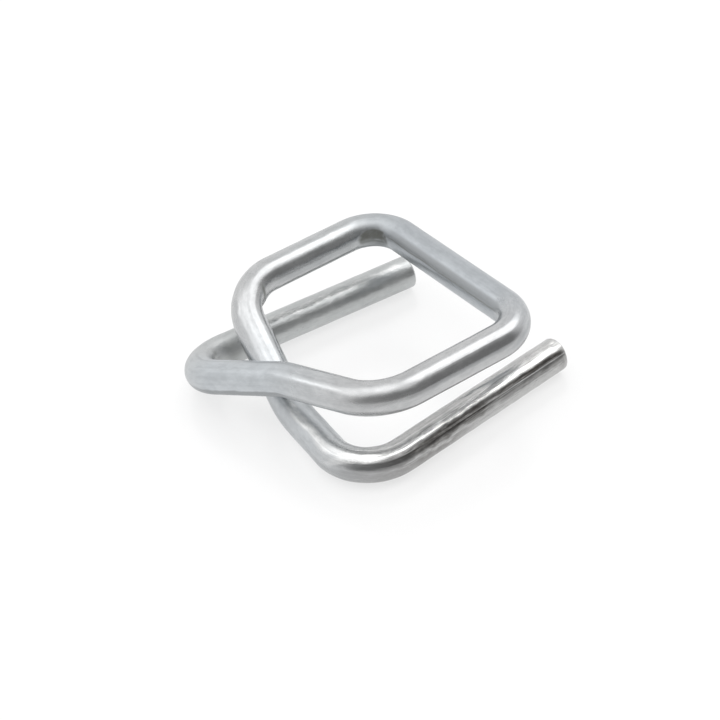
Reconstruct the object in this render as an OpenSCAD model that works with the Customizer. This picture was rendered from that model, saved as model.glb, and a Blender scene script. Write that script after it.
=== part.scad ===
// Wire buckle for plastic strapping: one round steel wire, cut to length and
// bent cold. The upper turn is a rectangular frame with a crossbar and two
// side bars. At the open side the wire crosses over itself, drops one level,
// and its two ends run back under the side bars as prongs. A strap end is
// looped round each prong and side bar, and the pull locks it.
//
// X runs along the bars toward the crossbar, Y across them, Z is up.
// The buckle lies on its prongs at Z = 0, over the centre of its outline.

/* [Wire] */
// Diameter of the round wire
wire_d = 3.3; // [2.5:0.1:3.3]
// Bevel left round each cut end
end_bevel = 0.3; // [0.1:0.05:0.6]

/* [Frame] */
// Length of the frame along its side bars, between wire centres
frame_len = 17.4; // [16:0.2:24]
// Width of the frame across its side bars, between wire centres
frame_wid = 23.4; // [22:0.2:28]
// Bend radius of the two crossbar corners, at the wire centre
crossbar_bend = 3.9; // [3:0.1:4.5]
// Bend radius of the two corners at the open side, at the wire centre
open_bend = 5; // [4:0.1:5.4]

/* [Prongs] */
// Height of the frame above the prongs, between wire centres
level_drop = 6.4; // [6.4:0.1:8]
// How far the rear prong runs out past the frame's open side
rear_bend_out = 8.4; // [8.3:0.1:9]
// How far the front prong runs out past the frame's open side
front_bend_out = 3.8; // [3.2:0.1:4.4]
// How far the rear prong stands outside its side bar at its bend
rear_bend_side = 0.9; // [0.4:0.1:1.4]
// How far the front prong stands outside its side bar at its bend
front_bend_side = 1; // [0.4:0.1:1.4]
// How far the rear prong's cut end stands past the crossbar's centre
rear_end_out = 2; // [0:0.1:4]
// How far the front prong's cut end stands past the crossbar's centre
front_end_out = 4; // [0:0.1:5]
// How far the rear prong closes in behind its side bar at its cut end
rear_end_inset = 1.5; // [0:0.1:1.8]
// How far the front prong closes in behind its side bar at its cut end
front_end_inset = 1.4; // [0:0.1:1.8]
// Bend radius of the two prong bends, at the wire centre
prong_bend = 4.3; // [3.6:0.1:4.8]

/* [Crossing] */
// How far the upper leg's kink stands out past the frame's open side
over_kink_out = 3.2; // [3.2:0.1:3.4]
// Depth of the upper leg's kink below the frame
over_kink_dip = 1.7; // [1.2:0.1:1.7]
// How far the upper leg's kink stands off the middle, toward the front
over_kink_side = 0.9; // [0.6:0.1:1.2]
// How far the lower leg's kink stands out past the frame's open side
under_kink_out = 2.3; // [2:0.1:2.3]
// Bend radius of both kinks, at the wire centre
kink_bend = 6.7; // [6:0.1:7]

/* [Hidden] */
$fn = 96;

wire_r = wire_d / 2;
// The wire swells by a hair where it is bent
bend_swell = 0.01;
bend_lap = 0.1;
open_x = -frame_len / 2;
bar_x = frame_len / 2;
side_y = frame_wid / 2;
prong_z = wire_r + bend_swell;
frame_z = prong_z + level_drop;

// Corners of the wire's centre line, from the rear prong's cut end to the
// front prong's cut end, about the middle of the frame
corner = [
    [bar_x + rear_end_out, side_y - rear_end_inset, prong_z],
    [open_x - rear_bend_out, side_y + rear_bend_side, prong_z],
    [open_x - over_kink_out, -over_kink_side, frame_z - over_kink_dip],
    [open_x, -side_y, frame_z],
    [bar_x, -side_y, frame_z],
    [bar_x, side_y, frame_z],
    [open_x, side_y, frame_z],
    [open_x - under_kink_out, 0, prong_z],
    [open_x - front_bend_out, -side_y - front_bend_side, prong_z],
    [bar_x + front_end_out, -side_y + front_end_inset, prong_z]
];
// Bend radius at each corner; the two cut ends have none
bend_r = [0, prong_bend, kink_bend, open_bend, crossbar_bend,
          crossbar_bend, open_bend, kink_bend, prong_bend, 0];
last = len(corner) - 1;

function unit(v) = v / norm(v);
function way_in(k) = unit(corner[k] - corner[k - 1]);
function way_out(k) = unit(corner[k + 1] - corner[k]);
function turn(k) = acos(way_in(k) * way_out(k));
// Length from a corner to where its bend starts and ends
function reach(k) = (k == 0 || k == last) ? 0 : bend_r[k] * tan(turn(k) / 2);
function bend_from(k) = corner[k] - way_in(k) * reach(k);
function run_from(k) = k == 0 ? corner[0] : corner[k] + way_out(k) * reach(k);
function run_to(k) = k == last ? corner[last] : bend_from(k);
function bend_centre(k) =
    corner[k] + unit(way_out(k) - way_in(k)) * bend_r[k] / cos(turn(k) / 2);
function bend_arm(k) = unit(bend_from(k) - bend_centre(k));
function bend_point(k, a) =
    bend_centre(k) + bend_r[k] * (cos(a) * bend_arm(k) + sin(a) * way_in(k));

// Outline of the buckle in one axis, for setting it over its own centre
bend_steps = 48;
function bend_span(i) =
    [for (k = [1 : last - 1]) for (s = [0 : bend_steps])
        bend_point(k, turn(k) * s / bend_steps)[i]];
function end_spread(w, i) = (wire_r - end_bevel) * sqrt(1 - pow(w[i], 2));
function low(i) = min(min(bend_span(i)) - wire_r - bend_swell,
    corner[0][i] - end_spread(way_in(1), i),
    corner[last][i] - end_spread(way_in(last), i));
function high(i) = max(max(bend_span(i)) + wire_r + bend_swell,
    corner[0][i] + end_spread(way_in(1), i),
    corner[last][i] + end_spread(way_in(last), i));
middle = [(low(0) + high(0)) / 2, (low(1) + high(1)) / 2, 0];

// Frame of three directions at a point, as a placing matrix
module placed(x, y, z, at) {
    multmatrix([[x[0], y[0], z[0], at[0]],
                [x[1], y[1], z[1], at[1]],
                [x[2], y[2], z[2], at[2]],
                [0, 0, 0, 1]]) children();
}

// Straight length of wire, turned about its own axis. A cut end has its rim
// bevelled; any other end runs a little way into the bend beside it.
module wire_run(a, b, cut_a = false, cut_b = false) {
    z = unit(b - a);
    x = unit(cross([0, 0, 1], z));
    y = cross(z, x);
    from = cut_a ? 0 : -bend_lap;
    to = norm(b - a) + (cut_b ? 0 : bend_lap);
    placed(x, y, z, a)
        rotate_extrude()
            polygon(concat(
                [[0, from]],
                cut_a ? [[wire_r - end_bevel, from], [wire_r, from + end_bevel]]
                      : [[wire_r, from]],
                cut_b ? [[wire_r, to - end_bevel], [wire_r - end_bevel, to]]
                      : [[wire_r, to]],
                [[0, to]]));
}

// Bend in the wire at one corner
module wire_bend(k) {
    x = bend_arm(k);
    y = way_in(k);
    placed(x, y, cross(x, y), bend_centre(k))
        rotate_extrude(angle = turn(k))
            translate([bend_r[k], 0]) circle(r = wire_r + bend_swell);
}

// The whole buckle: straight runs and bends along one wire
module buckle_wire() {
    color([0.74, 0.75, 0.77])
    translate(-middle) {
        for (k = [0 : last - 1])
            wire_run(run_from(k), run_to(k + 1), k == 0, k + 1 == last);
        for (k = [1 : last - 1])
            wire_bend(k);
    }
}

buckle_wire();
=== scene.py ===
import math

import bpy
import numpy as np
from mathutils import Matrix


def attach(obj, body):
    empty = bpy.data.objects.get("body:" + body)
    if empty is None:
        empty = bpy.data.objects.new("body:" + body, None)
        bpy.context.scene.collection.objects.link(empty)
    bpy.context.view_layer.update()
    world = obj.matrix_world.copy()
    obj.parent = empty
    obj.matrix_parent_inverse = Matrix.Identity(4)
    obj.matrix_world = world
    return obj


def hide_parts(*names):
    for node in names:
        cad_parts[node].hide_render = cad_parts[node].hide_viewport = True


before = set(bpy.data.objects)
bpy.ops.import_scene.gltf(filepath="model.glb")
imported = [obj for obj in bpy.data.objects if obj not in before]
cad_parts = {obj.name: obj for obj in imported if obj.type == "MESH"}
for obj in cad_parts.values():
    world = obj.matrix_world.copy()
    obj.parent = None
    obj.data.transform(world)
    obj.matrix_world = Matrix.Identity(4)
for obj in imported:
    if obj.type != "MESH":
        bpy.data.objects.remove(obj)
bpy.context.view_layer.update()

MM = 0.001

# ---------------------------------------------------------------- wire path
# The same corners and bend radii as the solid, in millimetres about the
# middle of the frame, then set over the middle of the outline.
WIRE_R = 1.65
PRONG_Z = 1.66
FRAME_Z = 8.06
HALF_L, HALF_W = 8.7, 11.7
SHIFT = np.array([1.94985, 0.08697, 0.0])

CORNERS = np.array([
    [HALF_L + 2.0, HALF_W - 1.5, PRONG_Z],
    [-HALF_L - 8.4, HALF_W + 0.9, PRONG_Z],
    [-HALF_L - 3.2, -0.9, FRAME_Z - 1.7],
    [-HALF_L, -HALF_W, FRAME_Z],
    [HALF_L, -HALF_W, FRAME_Z],
    [HALF_L, HALF_W, FRAME_Z],
    [-HALF_L, HALF_W, FRAME_Z],
    [-HALF_L - 2.3, 0.0, PRONG_Z],
    [-HALF_L - 3.8, -HALF_W - 1.0, PRONG_Z],
    [HALF_L + 4.0, -HALF_W + 1.4, PRONG_Z],
]) + SHIFT
BENDS = [4.3, 6.7, 5.0, 3.9, 3.9, 5.0, 6.7, 4.3]
# How deep the forming pin has pressed into the inside of each bend, the pin's
# radius, how far past the middle of the bend it bore (radians), and how soft
# the edge of the flat is; the slight kinks at the crossing were bent without one
PRESS = [
    (0.26, 1.7, 0.0, 0.05), None, (0.24, 1.7, 0.0, 0.03), (0.33, 1.6, 0.0, 0.05),
    (0.36, 1.6, 0.0, 0.10), (0.42, 1.6, 0.34, 0.004), None, (0.26, 1.7, 0.0, 0.03),
]
# How dark the flat has been rubbed
RUBBED = [0.12, 0.0, 0.0, 0.04, 1.0, 0.10, 0.0, 0.0]
# How much thinner the wire is drawn on the outside and inside of each bend
THIN = [(0.01, 0.06), (0.0, 0.02), (0.10, 0.09), (0.02, 0.05), (0.05, 0.06), (0.06, 0.07), (0.02, 0.02), (0.05, 0.05)]


def unit(v):
    return v / np.linalg.norm(v)


def wire_path(step_run=0.28, step_bend=0.16):
    """Points along the wire; for those in a bend, its number, its inward direction, and the angle from its middle."""
    pts, inward, which, theta, part = [], [], [], [], []
    here = CORNERS[0]

    def run(to, last=False):
        n = max(2, int(np.linalg.norm(to - here) / step_run))
        for i in range(n + last):
            pts.append(here + (to - here) * i / n)
            inward.append(np.zeros(3))
            which.append(-1)
            theta.append(0.0)
            part.append(0.0)

    for k in range(1, len(CORNERS) - 1):
        a, b = unit(CORNERS[k] - CORNERS[k - 1]), unit(CORNERS[k + 1] - CORNERS[k])
        turn = math.acos(max(-1.0, min(1.0, float(a @ b))))
        r = BENDS[k - 1]
        reach = r * math.tan(turn / 2)
        start, end = CORNERS[k] - a * reach, CORNERS[k] + b * reach
        run(start)
        mid = CORNERS[k] + unit(b - a) * r / math.cos(turn / 2)
        arm = (start - mid) / r
        n = max(4, int(r * turn / step_bend))
        for i in range(n):
            t = turn * i / n
            p = mid + r * (math.cos(t) * arm + math.sin(t) * a)
            pts.append(p)
            inward.append(unit(mid - p))
            which.append(k - 1)
            theta.append(t - turn / 2)
            part.append(math.sin(math.pi * i / n))
        here = end
    run(CORNERS[-1], True)
    return np.array(pts), np.array(inward), np.array(which), np.array(theta), np.array(part)


path, inward, which, theta, part = wire_path()
along = np.concatenate([[0.0], np.cumsum(np.linalg.norm(np.diff(path, axis=0), axis=1))])
LENGTH = float(along[-1])
tangent = np.gradient(path, axis=0)
tangent /= np.linalg.norm(tangent, axis=1)[:, None]

# A frame carried along the wire without twist, so that draw lines run straight
side = np.zeros_like(path)
side[0] = unit(np.cross(tangent[0], [0.0, 0.0, 1.0]))
for i in range(1, len(path)):
    side[i] = unit(side[i - 1] - tangent[i] * (side[i - 1] @ tangent[i]))
lift = np.cross(side, tangent)

# ---------------------------------------------------------------- wire mesh
AROUND = 128
phi = np.arange(AROUND) * 2 * math.pi / AROUND


def waves(seed, count, around, low, high):
    """A smooth pattern over the wire's surface: sines of seeded phase, whole in number round the wire. One row per path point."""
    g = np.random.default_rng(seed)
    out = np.zeros((len(along), AROUND))
    for _ in range(count):
        k = int(g.integers(around[0], around[1] + 1))
        w = g.uniform(low, high) * g.choice([-1, 1])
        out += np.cos(k * phi[None, :] + 2 * math.pi * along[:, None] / w + g.uniform(0, 6.283))
    return out / math.sqrt(count)


def between(x, a, b):
    t = np.clip((x - a) / (b - a), 0, 1)
    return t * t * (3 - 2 * t)


# The prongs and the bends beside them are knocked about more than the frame
KNOCKS = [
    (0, 1.0), (20, 1.0), (24, 0.9), (29, 0.4), (38, 0.4), (46, 0.5), (52, 0.4), (62, 0.4), (66, 0.35), (84, 0.4),
    (87, 0.7), (90, 0.65), (99, 0.65), (102, 1.0), (106, 0.95), (114, 0.8), (123, 0.7), (131, 1.1), (151, 1.1),
]
knocked = np.interp(along, [k[0] for k in KNOCKS], [k[1] for k in KNOCKS])[:, None]
skin = knocked * (
    0.0060 * waves(21, 46, (0, 4), 2.6, 9.0)      # shallow hammered waves
    + 0.0055 * waves(22, 70, (3, 11), 1.2, 4.0)   # finer ones
)
# long marks of the draw die, deepest on the front prong
drawn = between(along, 121, 131)[:, None]
skin += 0.0034 * waves(23, 10, (2, 5), 40.0, 140.0)
skin += 0.0020 * (1 + 1.2 * drawn) * waves(24, 14, (6, 13), 30.0, 120.0)
skin += 0.0011 * (1 + 2.2 * drawn) * waves(25, 22, (14, 26), 14.0, 80.0)

radius = WIRE_R + skin
pressed = np.zeros((len(along), AROUND))
scuff = waves(31, 40, (2, 22), 0.7, 2.4)
for i in range(len(path)):
    k = which[i]
    if k < 0:
        continue
    c = np.cos(phi) * (inward[i] @ side[i]) + np.sin(phi) * (inward[i] @ lift[i])
    outer, inner = THIN[k]
    radius[i] -= part[i] * c * c * np.where(c < 0, outer, inner)
    radius[i] += 0.012 * part[i] * (1 - c * c)
    if PRESS[k] is None:
        continue
    deep, pin, shift, soft = PRESS[k]
    off = BENDS[k] - WIRE_R + deep - pin
    under = pin * pin - (off * math.sin(theta[i] - shift)) ** 2
    if under <= 0:
        continue
    limit = BENDS[k] - off * math.cos(theta[i] - shift) - math.sqrt(under) + 0.010 * scuff[i]
    over = radius[i] * c - limit
    pressed[i] = np.where(c > 0.2, between(over, -0.10, 0.06), 0.0)
    radius[i] -= np.where(c > 0.2, 0.5 * (over + np.sqrt(over * over + soft * soft)) / np.maximum(c, 0.2), 0.0)

base = path[:, None, :] + radius[:, :, None] * (
    np.cos(phi)[None, :, None] * side[:, None, :] + np.sin(phi)[None, :, None] * lift[:, None, :]
)

# Small pits and dents: place, width and depth in millimetres
DENTS = [
    ((10.17, -6.99, 9.64), 0.15, 0.045),
    ((10.06, -7.45, 9.60), 0.13, 0.040),
    ((14.20, -10.62, 3.27), 0.24, 0.110),
    ((9.60, -4.40, 9.60), 0.12, 0.014),
    ((-12.9, 4.1, 6.3), 0.22, 0.014),
    ((5.6, -12.6, 2.75), 0.22, 0.020),
    ((2.4, -13.0, 2.6), 0.26, 0.022),
    ((-1.2, 11.1, 3.3), 0.26, 0.018),
    ((4.4, 10.7, 3.3), 0.24, 0.018),
    ((0.6, 11.6, 9.65), 0.15, 0.012),
]
flat = base.reshape(-1, 3)
normal = (base - path[:, None, :]).reshape(-1, 3)
normal /= np.linalg.norm(normal, axis=1)[:, None]
push = np.zeros(len(flat))
for place, wide, deep in DENTS:
    d2 = ((flat - np.array(place)) ** 2).sum(1)
    push -= deep * np.exp(-d2 / (wide * wide)) - 0.35 * deep * np.exp(-((np.sqrt(d2) - 1.9 * wide) / (0.6 * wide)) ** 2)
base = (flat + normal * push[:, None]).reshape(base.shape)


ragged = waves(41, 34, (0, 3), 0.7, 6.0)


def flank(lo, hi, out, span, edge=5.0, rag=0.0):
    """Soft band on one flank of a stretch of wire, between two slopes in degrees above level, on the side that faces out."""
    n = normal.reshape(base.shape)
    slope = np.degrees(np.arctan2(n[:, :, 2], n @ np.array(out))) + rag * ragged
    band = between(slope, lo - edge, lo + edge) * (1 - between(slope, hi - edge, hi + edge))
    return band * (between(along, span[0], span[1]) * (1 - between(along, span[2], span[3])))[:, None]


# Dark bands on flanks chosen by their slope: handling grime along the crossbar's inner shoulder; grime together with a
# painted dark reflection along the outer shoulder of the front prong, fainter below and in its bend; painted dark
# reflections on the over-leg, the front and back bars, and the front right and front bends
FRONT, CURVE, CORNER = (0.0, -1.0, 0.0), (-0.75, -0.66, 0.0), (0.8, -0.6, 0.0)
END = along[-1]
painted_dark_and_grime = np.maximum.reduce([
    0.92 * flank(22, 50, (-1.0, 0.0, 0.0), (64.5, 69, 82, 86)),
    flank(25, 53, FRONT, (123.5, 133.5, 139, 143), 2.0, 1.7),
    0.70 * flank(14, 31, FRONT, (123.5, 133, 139, 143), 4.0, 4.0),
    flank(38, 52.5, FRONT, (138.5, 142.5, 149.5, 152), 1.8, 1.5),
    0.45 * flank(12, 31, FRONT, (138.5, 142.5, 149.5, 152), 4.0, 3.0),
    0.60 * flank(-50, 1, FRONT, (129, 131.5, 134.5, 139), 6.0, 5.0),
    0.45 * flank(-35, 54, FRONT, (END - 1.9, END - 0.1, END + 1, END + 2), 6.0, 2.0),
    0.45 * flank(-25, 22, CORNER, (61.5, 63.5, 67.5, 70), 6.0, 3.0),
    0.46 * flank(-85, 12, CURVE, (120, 124, 130, 135), 8.0, 3.0),
    0.95 * flank(-70, -13, (-0.93, -0.37, 0.0), (26, 30, 38, 45), 3.0, 2.5),
    0.60 * flank(4, 20, FRONT, (89, 91.5, 98, 101), 5.0, 3.0),
    0.38 * flank(-12, 8, FRONT, (89, 91.5, 98, 101), 5.0, 3.0),
    0.42 * flank(11, 23, FRONT, (51, 54, 61, 64), 4.0, 2.0),
    0.50 * flank(98, 104, (-0.93, -0.37, 0.0), (25, 28, 38, 44), 2.5, 1.5),
    0.30 * flank(62, 66, (-0.93, -0.37, 0.0), (26, 30, 35, 40), 2.0, 2.5),
])
# Painted highlight stripes along the tops of the prongs and the front bend, and on the under-leg where it meets that
# bend
painted_highlight = np.maximum.reduce([
    flank(54.5, 74, FRONT, (123, 128, 150, 152), 2.5, 2.2),
    0.55 * flank(56, 92, CURVE, (119.5, 124, 129, 133), 8.0, 2.0),
    0.95 * flank(53, 80, (-1.0, 0.0, 0.0), (113, 117, 122, 125.5), 6.0, 2.0),
    0.75 * flank(63, 80, FRONT, (0.5, 2, 15, 19), 5.0, 3.5),
])
# The dark rubbing at the back right bend lies on the upper part of its flat
rub_and_painted_shade = np.array([RUBBED[k] if k >= 0 else 0.0 for k in which])[:, None] * pressed
high = base[:, :, 2]
turn = theta[:, None] - 0.09 + 0.06 * ragged + 0.05 * scuff
patchy = 0.25 + 0.42 * between(high, 7.42, 7.66) + 0.33 * between(high, 7.80, 8.20)
patchy = patchy - 0.55 * np.exp(-((high - 7.80) / 0.06) ** 2 - ((turn + 0.16) / 0.16) ** 2)
patchy = patchy * (1 - between(np.abs(turn), 0.40, 0.95 - 0.36 * between(high, 7.9, 8.7)))
rub_and_painted_shade = np.where((which == 4)[:, None], rub_and_painted_shade * np.clip(patchy, 0, 1), rub_and_painted_shade)
# A painted dark reflection line along the crossbar's inner shoulder
rub_and_painted_shade = np.maximum(rub_and_painted_shade, 0.75 * flank(17, 22, (-1.0, 0.0, 0.0), (65, 69, 83, 86), 2.2, 0.9))
# Painted shade in the crease where the pin's flat ends in the back left bend, and on the inner side of the rear prong
# near the left bend, beside the under-leg
for place, wide, deep in [
    ((-4.70, 10.12, 8.94), 0.10, 0.35), ((-4.67, 10.02, 8.82), 0.11, 0.5), ((-4.67, 9.93, 8.69), 0.11, 0.6),
    ((-4.69, 9.83, 8.54), 0.15, 0.85), ((-4.72, 9.74, 8.42), 0.16, 0.95), ((-4.75, 9.66, 8.30), 0.17, 1.0),
    ((-4.78, 9.58, 8.14), 0.18, 1.0), ((-4.80, 9.53, 7.97), 0.19, 1.0), ((-4.83, 9.48, 7.81), 0.19, 1.0),
    ((-4.93, 9.39, 7.62), 0.17, 1.0),
    ((-10.55, 10.58, 3.2), 0.32, 0.5), ((-8.7, 10.84, 2.75), 0.75, 0.4), ((-8.5, 10.75, 1.9), 0.9, 0.45),
]:
    d2 = ((base - np.array(place)) ** 2).sum(2)
    rub_and_painted_shade = np.maximum(rub_and_painted_shade, deep * np.exp(-d2 / (wide * wide)))


def end_grain(seed):
    g = np.random.default_rng(seed)
    rows = []
    for n in range(6):
        row = np.zeros(AROUND)
        for k in range(1, 9):
            row += g.uniform(-1, 1) * np.cos(k * phi + g.uniform(0, 6.283)) / math.sqrt(k)
        rows.append(row * 0.5)
    return rows


def shear_end(i, sign, roll, bulge, tilt, seed):
    """Rings from the wire out to the middle of one cut end: a rim rolled over by the shear, then the slightly domed face of the cut."""
    g = np.random.default_rng(seed)
    lip = sum(g.uniform(-1, 1) * np.cos(k * phi + g.uniform(0, 6.283)) / k for k in range(1, 7))
    lean = np.cos(phi - tilt[1]) * tilt[0]
    axis = tangent[i] * sign
    dirs = np.cos(phi)[:, None] * side[i] + np.sin(phi)[:, None] * lift[i]
    out, rest, face = [], [], []
    r_roll = roll * (1 + 0.28 * lip)
    for t in np.linspace(0, math.pi / 2, 9)[1:]:
        slide = bulge - r_roll * (1 - np.sin(t)) + lean
        r = radius[i] - r_roll * (1 - np.cos(t))
        out.append(path[i] + dirs * r[:, None] + axis * slide[:, None])
        rest.append((slide, r))
        face.append(0.0 if t < 1.2 else 0.5)
    rim = radius[i] - r_roll
    grain = end_grain(seed + 50)
    for n, f in enumerate((0.90, 0.78, 0.64, 0.48, 0.32, 0.16)):
        r = rim * f
        slide = bulge + lean * f + 0.045 * (1 - f * f) + 0.016 * grain[n] * (1 if f < 0.85 else 0.5)
        out.append(path[i] + dirs * r[:, None] + axis * slide[:, None])
        rest.append((slide, r))
        face.append(1.0)
    return out, rest, face


last = len(path) - 1
a_rings, a_rest, a_face = shear_end(0, -1.0, 0.30, 0.02, (0.05, 1.2), 5)
b_rings, b_rest, b_face = shear_end(last, 1.0, 0.24, 0.10, (0.07, 2.0), 9)

# per ring: pin rubbing with painted shade, dark bands of painted reflection and grime, painted highlights, and which
# rings are cut faces
rings, rests, masks, painted_bands, painted_glint_rows, cuts = [], [], [], [], [], []
for pts, (slide, r), f in list(zip(a_rings, a_rest, a_face))[::-1]:
    rings.append(pts)
    rests.append(np.stack([-slide, np.cos(phi) * r, np.sin(phi) * r], 1))
    masks.append(np.zeros(AROUND))
    painted_bands.append(np.zeros(AROUND))
    painted_glint_rows.append(np.zeros(AROUND))
    cuts.append(f)
for i in range(len(path)):
    if along[i] > 0.50 and LENGTH - along[i] > 0.42:
        rings.append(base[i])
        rests.append(np.stack([np.full(AROUND, along[i]), np.cos(phi) * WIRE_R, np.sin(phi) * WIRE_R], 1))
        masks.append(rub_and_painted_shade[i])
        painted_bands.append(painted_dark_and_grime[i])
        painted_glint_rows.append(painted_highlight[i])
        cuts.append(0.0)
for pts, (slide, r), f in zip(b_rings, b_rest, b_face):
    rings.append(pts)
    rests.append(np.stack([LENGTH + slide, np.cos(phi) * r, np.sin(phi) * r], 1))
    masks.append(np.zeros(AROUND))
    painted_bands.append(np.zeros(AROUND))
    painted_glint_rows.append(np.zeros(AROUND))
    cuts.append(f)

n_rings = len(rings)
co = np.concatenate(rings + [[rings[0].mean(0)], [rings[-1].mean(0)]]) * MM
rest = np.concatenate(rests + [[rests[0].mean(0)], [rests[-1].mean(0)]])
mask = np.concatenate(masks + [[0.0, 0.0]])
painted_bands = np.concatenate(painted_bands + [[0.0, 0.0]])
painted_glint_rows = np.concatenate(painted_glint_rows + [[0.0, 0.0]])
cut = np.concatenate([np.repeat(cuts, AROUND), [1.0, 1.0]])
ia, ib = n_rings * AROUND, n_rings * AROUND + 1

faces = []
for j in range(n_rings - 1):
    for k in range(AROUND):
        k2 = (k + 1) % AROUND
        faces.append((j * AROUND + k, (j + 1) * AROUND + k, (j + 1) * AROUND + k2, j * AROUND + k2))
for k in range(AROUND):
    k2 = (k + 1) % AROUND
    faces.append((ia, k, k2))
    faces.append((ib, (n_rings - 1) * AROUND + k2, (n_rings - 1) * AROUND + k))

mesh = bpy.data.meshes.new("buckle_wire_formed")
mesh.from_pydata([tuple(v) for v in co], [], faces)
mesh.update()
wire = bpy.data.objects.new("buckle_wire_formed", mesh)
bpy.context.scene.collection.objects.link(wire)
mesh.polygons.foreach_set("use_smooth", [True] * len(mesh.polygons))

# The wire laid straight, before bending: length, then across, in millimetres
attr = mesh.attributes.new("straight", "FLOAT_VECTOR", "POINT")
attr.data.foreach_set("vector", rest.astype(np.float32).ravel())
# the rubbed mask also holds painted shade, the grime mask holds painted dark reflections as well as grime, and the
# polish mask holds painted highlights
attr = mesh.attributes.new("pin_rub_and_painted_shade", "FLOAT", "POINT")
attr.data.foreach_set("value", mask.astype(np.float32))
attr = mesh.attributes.new("painted_dark_and_grime", "FLOAT", "POINT")
attr.data.foreach_set("value", painted_bands.astype(np.float32))
attr = mesh.attributes.new("painted_highlight", "FLOAT", "POINT")
attr.data.foreach_set("value", painted_glint_rows.astype(np.float32))
attr = mesh.attributes.new("cut_face", "FLOAT", "POINT")
attr.data.foreach_set("value", cut.astype(np.float32))

# Map for textures: the wire laid out in strips, one above the other, and the
# two cut faces as discs above them
STRIPS = 4
uv = mesh.uv_layers.new(name="OFBake")
strip_len = LENGTH / STRIPS
disc_h = 0.15
strip_h = (1 - disc_h - 0.02 * (STRIPS + 2)) / STRIPS
loops = np.zeros((len(mesh.loops), 2), np.float32)
pos = 0
for f in mesh.polygons:
    vs = list(f.vertices)
    js = [v // AROUND if v < ia else (0 if v == ia else n_rings - 1) for v in vs]
    if max(js) < 6 or min(js) >= n_rings - 6:
        cx = 0.12 if max(js) < 6 else 0.32
        for n, v in enumerate(vs):
            r = rest[v]
            loops[pos + n] = (
                cx + r[1] / WIRE_R * disc_h * 0.47,
                1 - 0.02 - disc_h / 2 + r[2] / WIRE_R * disc_h * 0.47,
            )
    else:
        s_mid = sum(rest[v][0] for v in vs) / len(vs)
        strip = min(STRIPS - 1, max(0, int(s_mid / strip_len)))
        ks = [v % AROUND for v in vs]
        wrap = max(ks) - min(ks) > 1
        for n, v in enumerate(vs):
            k = ks[n] + (AROUND if wrap and ks[n] == 0 else 0)
            # rings of a rim lie close together, so they are spread by number
            j = js[n]
            s = rest[v][0]
            if j < 14:
                s = 0.50 - (14 - j) * 0.08
            elif j >= n_rings - 14:
                s = LENGTH - 0.42 + (j - n_rings + 15) * 0.08
            u = 0.01 + 0.98 * (s - strip * strip_len + 0.6) / (strip_len + 1.2)
            loops[pos + n] = (u, 0.02 + strip * (strip_h + 0.02) + strip_h * k / AROUND)
    pos += len(vs)
uv.data.foreach_set("uv", loops.ravel())


# ---------------------------------------------------------------- materials
def node(tree, kind, **values):
    n = tree.nodes.new(kind)
    for k, v in values.items():
        setattr(n, k, v)
    return n


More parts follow.
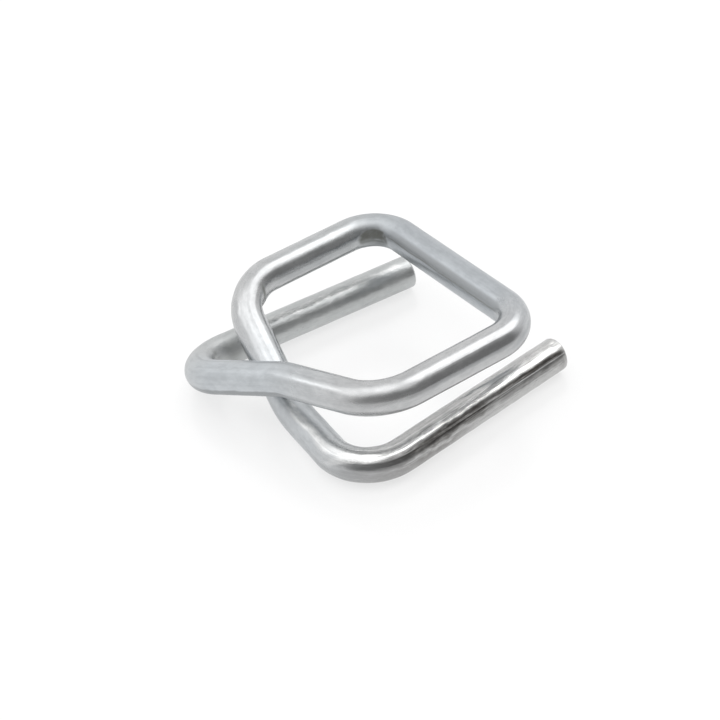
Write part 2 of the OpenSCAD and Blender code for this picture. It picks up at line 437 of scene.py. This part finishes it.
def zinc_material():
    mat = bpy.data.materials.new("zinc_wire")
    mat.use_nodes = True
    t = mat.node_tree
    t.nodes.clear()
    out = node(t, "ShaderNodeOutputMaterial")
    bsdf = node(t, "ShaderNodeBsdfPrincipled")
    t.links.new(bsdf.outputs["BSDF"], out.inputs["Surface"])
    bsdf.inputs["Metallic"].default_value = 1.0

    at = node(t, "ShaderNodeAttribute", attribute_name="straight")
    xyz = node(t, "ShaderNodeSeparateXYZ")
    t.links.new(at.outputs["Vector"], xyz.inputs[0])
    place = xyz.outputs["X"]
    pin_rub_shade = node(t, "ShaderNodeAttribute", attribute_name="pin_rub_and_painted_shade").outputs["Fac"]
    painted_dark_and_grime = node(t, "ShaderNodeAttribute", attribute_name="painted_dark_and_grime").outputs["Fac"]
    painted_highlight = node(t, "ShaderNodeAttribute", attribute_name="painted_highlight").outputs["Fac"]
    face = node(t, "ShaderNodeAttribute", attribute_name="cut_face").outputs["Fac"]

    def link(v, socket):
        if isinstance(v, (int, float)):
            socket.default_value = v
        else:
            t.links.new(v, socket)

    def scaled(sx, sy, sz, off=(0, 0, 0)):
        m = node(t, "ShaderNodeMapping")
        m.inputs["Scale"].default_value = (sx, sy, sz)
        m.inputs["Location"].default_value = off
        t.links.new(at.outputs["Vector"], m.inputs["Vector"])
        return m.outputs["Vector"]

    def noise(vec, detail=4.0, rough=0.55, dist=0.0):
        n = node(t, "ShaderNodeTexNoise")
        n.inputs["Scale"].default_value = 1.0
        n.inputs["Detail"].default_value = detail
        n.inputs["Roughness"].default_value = rough
        n.inputs["Distortion"].default_value = dist
        t.links.new(vec, n.inputs["Vector"])
        return n.outputs["Fac"]

    def span(v, lo, hi, a=0.0, b=1.0, smooth=True):
        m = node(t, "ShaderNodeMapRange")
        m.interpolation_type = "SMOOTHSTEP" if smooth else "LINEAR"
        link(v, m.inputs["Value"])
        for k, x in (("From Min", lo), ("From Max", hi), ("To Min", a), ("To Max", b)):
            m.inputs[k].default_value = x
        return m.outputs["Result"]

    def maths(op, a, b=None, clamp=False):
        m = node(t, "ShaderNodeMath", operation=op, use_clamp=clamp)
        for k, v in enumerate((a, b)):
            if v is not None:
                link(v, m.inputs[k])
        return m.outputs["Value"]

    def mul(a, b):
        return maths("MULTIPLY", a, b)

    def add(a, b):
        return maths("ADD", a, b)

    def mix(fac, a, b):
        m = node(t, "ShaderNodeMix", data_type="RGBA")
        link(fac, m.inputs["Factor"])
        for v, s in ((a, m.inputs[6]), (b, m.inputs[7])):
            if isinstance(v, tuple):
                s.default_value = (*v, 1.0)
            else:
                t.links.new(v, s)
        return m.outputs[2]

    def course(stops):
        """A value that changes along the wire: (length in millimetres, value or colour)."""
        r = node(t, "ShaderNodeValToRGB")
        el = r.color_ramp.elements
        while len(el) > 1:
            el.remove(el[-1])
        for n, (s, v) in enumerate(stops):
            e = el[0] if n == 0 else el.new(s / 151.0)
            e.position = s / 151.0
            e.color = (*v, 1.0) if isinstance(v, tuple) else (v, v, v, 1.0)
        t.links.new(maths("DIVIDE", place, 151.0), r.inputs["Fac"])
        return r.outputs["Color"]

    front = span(place, 121.0, 131.0)

    lines = noise(scaled(0.045, 3.6, 3.6), 5.0, 0.62)
    fine = noise(scaled(0.09, 8.5, 8.5, (11, 2, 5)), 3.0, 0.6)
    broad = noise(scaled(0.03, 0.85, 0.85, (7, 0, 0)), 3.0, 0.5)
    patch = noise(scaled(0.42, 0.95, 0.95, (3, 5, 1)), 5.0, 0.6, 0.5)
    mottle = noise(scaled(1.5, 2.4, 2.4, (1, 8, 2)), 5.0, 0.62, 0.3)

    # how mottled, and how streaked by the draw die, along the wire
    knocked = course([
        (0, 1.0), (19, 1.0), (25, 0.6), (30, 0.16), (45, 0.16), (53, 0.12), (62, 0.12), (68, 0.12), (83, 0.12),
        (87, 0.22), (91, 0.20), (99, 0.22), (103, 0.34), (113, 0.30), (123, 0.25), (131, 0.32), (151, 0.32),
    ])
    streaked = course([(0, 0.35), (24, 0.35), (30, 0.2), (46, 0.25), (54, 0.5), (62, 0.5), (68, 0.3), (84, 0.25), (92, 0.4), (112, 0.4), (123, 0.5), (132, 2.0)])

    # colour: bright zinc, cooler on some stretches than on others; darker over the crossbar and the bend behind it; a
    # little lighter along the under-leg before the front bend, a painted lift of the over-leg's dark reflection there
    shade = add(mul(lines, 0.26), add(mul(patch, 0.42), mul(mottle, 0.32)))
    zinc = mix(span(shade, 0.34, 0.66), (0.445, 0.450, 0.455), (0.560, 0.564, 0.568))
    tint_and_painted_light = course([
        (0, (1.00, 1.02, 1.01)), (20, (1.00, 1.02, 1.01)), (25, (1.03, 1.04, 1.04)), (30, (1.01, 1.05, 1.08)),
        (37, (1.01, 1.05, 1.08)), (41, (1.01, 1.03, 1.045)), (47, (1.0, 1.0, 1.0)), (62, (1.0, 1.0, 1.0)),
        (69, (0.875, 0.912, 0.945)), (83, (0.862, 0.90, 0.934)), (87, (0.84, 0.87, 0.89)), (91, (0.98, 1.0, 1.0)),
        (104, (1.0, 1.0, 1.0)), (113, (1.02, 1.05, 1.07)), (118, (1.03, 1.06, 1.08)), (122, (1.03, 1.06, 1.08)), (127, (1.0, 1.0, 0.995)),
        (133, (1.02, 1.01, 0.99)),
    ])
    m = node(t, "ShaderNodeMix", data_type="RGBA", blend_type="MULTIPLY")
    m.inputs["Factor"].default_value = 1.0
    t.links.new(zinc, m.inputs[6])
    t.links.new(tint_and_painted_light, m.inputs[7])
    zinc = m.outputs[2]
    # painted highlights along the tops of the prongs, the front bend and the under-leg, in broken streaks
    painted_bands = mul(painted_highlight, span(add(mul(lines, 0.55), mul(mottle, 0.45)), 0.34, 0.58, 0.50, 1.0))
    zinc = mix(painted_bands, zinc, (0.88, 0.88, 0.87))
    grit = noise(scaled(2.6, 5.0, 5.0, (4, 1, 9)), 4.0, 0.65, 0.4)
    # dark bands: grime on the crossbar, grime with a painted dark reflection on the front prong, painted dark
    # reflections elsewhere; on the front prong scratched through to the bright metal in thin lines
    scratch = mul(front, span(fine, 0.55, 0.66))
    painted_dark_with_grime = mul(painted_dark_and_grime, maths("SUBTRACT", 1.0, mul(scratch, 0.8)))
    painted_dark_with_grime = mul(painted_dark_with_grime, span(add(mul(lines, 0.6), mul(mottle, 0.4)), 0.30, 0.54, 0.52, 1.0))
    painted_dark_with_grime = mul(painted_dark_with_grime, maths("SUBTRACT", 1.0, mul(front, span(grit, 0.50, 0.72, 0.0, 0.42))))
    zinc = mix(painted_dark_with_grime, zinc, mix(front, (0.325, 0.338, 0.348), (0.108, 0.101, 0.094)))
    # the coat is rubbed dark where the forming pin bore on it; the same colour paints shade into the back left crease
    # and beside the left bend, and a painted dark reflection line on the crossbar
    pin_rub_and_painted_shade = mul(pin_rub_shade, span(mottle, 0.28, 0.55, 0.75, 1.0))
    zinc = mix(pin_rub_and_painted_shade, zinc, (0.255, 0.260, 0.244))
    # bare steel on the sheared ends
    bare = mix(span(mottle, 0.35, 0.65), (0.33, 0.33, 0.33), (0.50, 0.50, 0.50))
    zinc = mix(face, zinc, bare)
    t.links.new(zinc, bsdf.inputs["Base Color"])

    rough = course([
        (0, 0.30), (8, 0.255), (15, 0.255), (21, 0.36), (27, 0.36), (31, 0.33), (37, 0.34), (39.4, 0.37), (41.3, 0.20), (45, 0.20), (47.5, 0.27),
        (51, 0.26), (54, 0.18), (61, 0.16), (64, 0.20), (67, 0.28), (70, 0.33), (80, 0.33), (84, 0.42), (87, 0.48),
        (89.5, 0.32), (91.5, 0.20), (98, 0.20), (101, 0.27), (104, 0.25), (107, 0.20), (112, 0.26), (117, 0.40),
        (121, 0.36), (125, 0.23), (133, 0.13),
    ])
    rough = add(rough, add(mul(patch, 0.14), mul(broad, 0.08)))
    rough = add(rough, mul(mul(knocked, mottle), 0.12))
    rough = add(rough, mul(mul(painted_dark_with_grime, maths("SUBTRACT", 1.0, front)), 0.10))
    rough = add(rough, mul(pin_rub_shade, 0.34))
    rough = add(rough, mul(painted_bands, 0.04))
    rough = add(rough, mul(face, 0.15))
    rough = maths("SUBTRACT", rough, 0.12)
    t.links.new(maths("MINIMUM", rough, 0.75), bsdf.inputs["Roughness"])

    # relief: draw lines, deeper scores where they are strong, and a dimpled skin
    relief = add(mul(streaked, mul(lines, 0.55)), mul(mul(streaked, streaked), mul(span(fine, 0.50, 0.66), 0.45)))
    relief = add(relief, mul(knocked, mul(mottle, 3.2)))
    relief = add(relief, mul(pin_rub_shade, mul(mottle, 1.5)))
    bump = node(t, "ShaderNodeBump")
    bump.inputs["Strength"].default_value = 1.0
    bump.inputs["Distance"].default_value = 0.00001
    t.links.new(relief, bump.inputs["Height"])
    t.links.new(bump.outputs["Normal"], bsdf.inputs["Normal"])
    return mat


zinc = zinc_material()
mesh.materials.append(zinc)
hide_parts("buckle_wire")
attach(wire, "root")

# ---------------------------------------------------------------- floor
# A white satin sheet, lit a little from below as on a light table
floor_mesh = bpy.data.meshes.new("studio_floor")
S = 1.5
floor_mesh.from_pydata([(-S, -S, 0), (S, -S, 0), (S, S, 0), (-S, S, 0)], [], [(0, 1, 2, 3)])
floor = bpy.data.objects.new("studio_floor", floor_mesh)
bpy.context.scene.collection.objects.link(floor)
pale = bpy.data.materials.new("studio_floor")
pale.use_nodes = True
p = pale.node_tree.nodes["Principled BSDF"]
p.inputs["Base Color"].default_value = (0.28, 0.28, 0.28, 1)
p.inputs["Roughness"].default_value = 0.9
p.inputs["Specular IOR Level"].default_value = 0.0
p.inputs["Coat Weight"].default_value = 1.0
p.inputs["Coat Roughness"].default_value = 0.22
p.inputs["Emission Color"].default_value = (1, 1, 1, 1)
p.inputs["Emission Strength"].default_value = 0.72
floor_mesh.materials.append(pale)


# ---------------------------------------------------------------- light
def studio_world():
    world = bpy.data.worlds.new("studio")
    bpy.context.scene.world = world
    world.use_nodes = True
    t = world.node_tree
    t.nodes.clear()
    out = node(t, "ShaderNodeOutputWorld")
    bg = node(t, "ShaderNodeBackground")
    t.links.new(bg.outputs["Background"], out.inputs["Surface"])
    tc = node(t, "ShaderNodeTexCoord")
    way = node(t, "ShaderNodeVectorMath", operation="NORMALIZE")
    t.links.new(tc.outputs["Generated"], way.inputs[0])
    way = way.outputs["Vector"]
    xyz = node(t, "ShaderNodeSeparateXYZ")
    t.links.new(way, xyz.inputs[0])

    def link(v, socket):
        if isinstance(v, (int, float)):
            socket.default_value = v
        else:
            t.links.new(v, socket)

    def maths(op, a, b=None):
        m = node(t, "ShaderNodeMath", operation=op)
        for k, v in enumerate((a, b)):
            if v is not None:
                link(v, m.inputs[k])
        return m.outputs["Value"]

    def smooth(x, lo, hi, a=0.0, b=1.0):
        m = node(t, "ShaderNodeMapRange", interpolation_type="SMOOTHSTEP")
        for k, v in (("Value", x), ("From Min", lo), ("From Max", hi), ("To Min", a), ("To Max", b)):
            link(v, m.inputs[k])
        return m.outputs["Result"]

    def toward(az, el):
        a, e = math.radians(az), math.radians(el)
        d = node(t, "ShaderNodeVectorMath", operation="DOT_PRODUCT")
        d.inputs[1].default_value = (math.cos(a) * math.cos(e), math.sin(a) * math.cos(e), math.sin(e))
        t.links.new(way, d.inputs[0])
        return d.outputs["Value"]

    def lamp(az, el, wide, core, strength):
        """A round soft light, even inside core degrees and gone by wide degrees."""
        return smooth(toward(az, el), math.cos(math.radians(wide)), math.cos(math.radians(core)), 0.0, strength)

    up = xyz.outputs["Z"]
    flat = maths("SQRT", maths("SUBTRACT", 1.0001, maths("MULTIPLY", up, up)))
    facing = maths("DIVIDE", toward(80, 0), flat)
    el = maths("MULTIPLY", maths("ARCSINE", up), 180 / math.pi)

    # a pale backdrop on the far side, an unlit room on the camera's side
    wall_side = smooth(facing, -0.68, 0.17)
    wall = smooth(facing, -0.68, 0.17, 0.27, 1.02)
    # a large light overhead
    onset = maths("ADD", maths("MULTIPLY", wall_side, 20.0), 34.0)
    rise = smooth(el, onset, maths("ADD", onset, 44.0))
    total = maths("ADD", wall, maths("MULTIPLY", rise, maths("SUBTRACT", 1.58, wall)))
    # key light to the right, a softer one at the back left, and a small strip
    total = maths("ADD", total, lamp(-2, 54, 26, 15, 1.15))
    total = maths("ADD", total, lamp(160, 62, 38, 10, 0.60))
    total = maths("ADD", total, lamp(134, 37, 8, 2, 0.9))
    total = maths("ADD", total, lamp(112, 33, 8, 2, 0.24))
    t.links.new(total, bg.inputs["Strength"])
    bg.inputs["Color"].default_value = (1, 1, 1, 1)


studio_world()

# ---------------------------------------------------------------- camera
EL, AZ, ROLL = math.radians(37.7147), math.radians(-32.8230), math.radians(-6.0893)
CX, CY, DIST, F_PX, D_MM = 0.561214, 1.504413, 59.28625, 2074.218, 3.3
back = np.array([math.sin(AZ) * math.cos(EL), -math.cos(AZ) * math.cos(EL), math.sin(EL)])
right = np.array([math.cos(AZ), math.sin(AZ), 0.0])
up = np.cross(back, right)
c, s = math.cos(ROLL), math.sin(ROLL)
right2, up2 = c * right + s * up, -s * right + c * up
eye = (back * DIST - right2 * CX - up2 * CY) * D_MM + SHIFT + np.array([0, 0, FRAME_Z])
cam_data = bpy.data.cameras.new("camera")
cam = bpy.data.objects.new("camera", cam_data)
bpy.context.scene.collection.objects.link(cam)
cam.matrix_world = Matrix((
    (right2[0], up2[0], back[0], eye[0] * MM),
    (right2[1], up2[1], back[1], eye[1] * MM),
    (right2[2], up2[2], back[2], eye[2] * MM),
    (0, 0, 0, 1),
))
cam_data.sensor_fit = "HORIZONTAL"
cam_data.sensor_width = 36.0
cam_data.lens = F_PX * 36.0 / 720.0
cam_data.clip_start = 0.005
cam_data.clip_end = 20.0
bpy.context.scene.camera = cam

view = bpy.context.scene.view_settings
view.view_transform = "Standard"
view.look = "None"
view.exposure = 0.0
view.gamma = 1.0
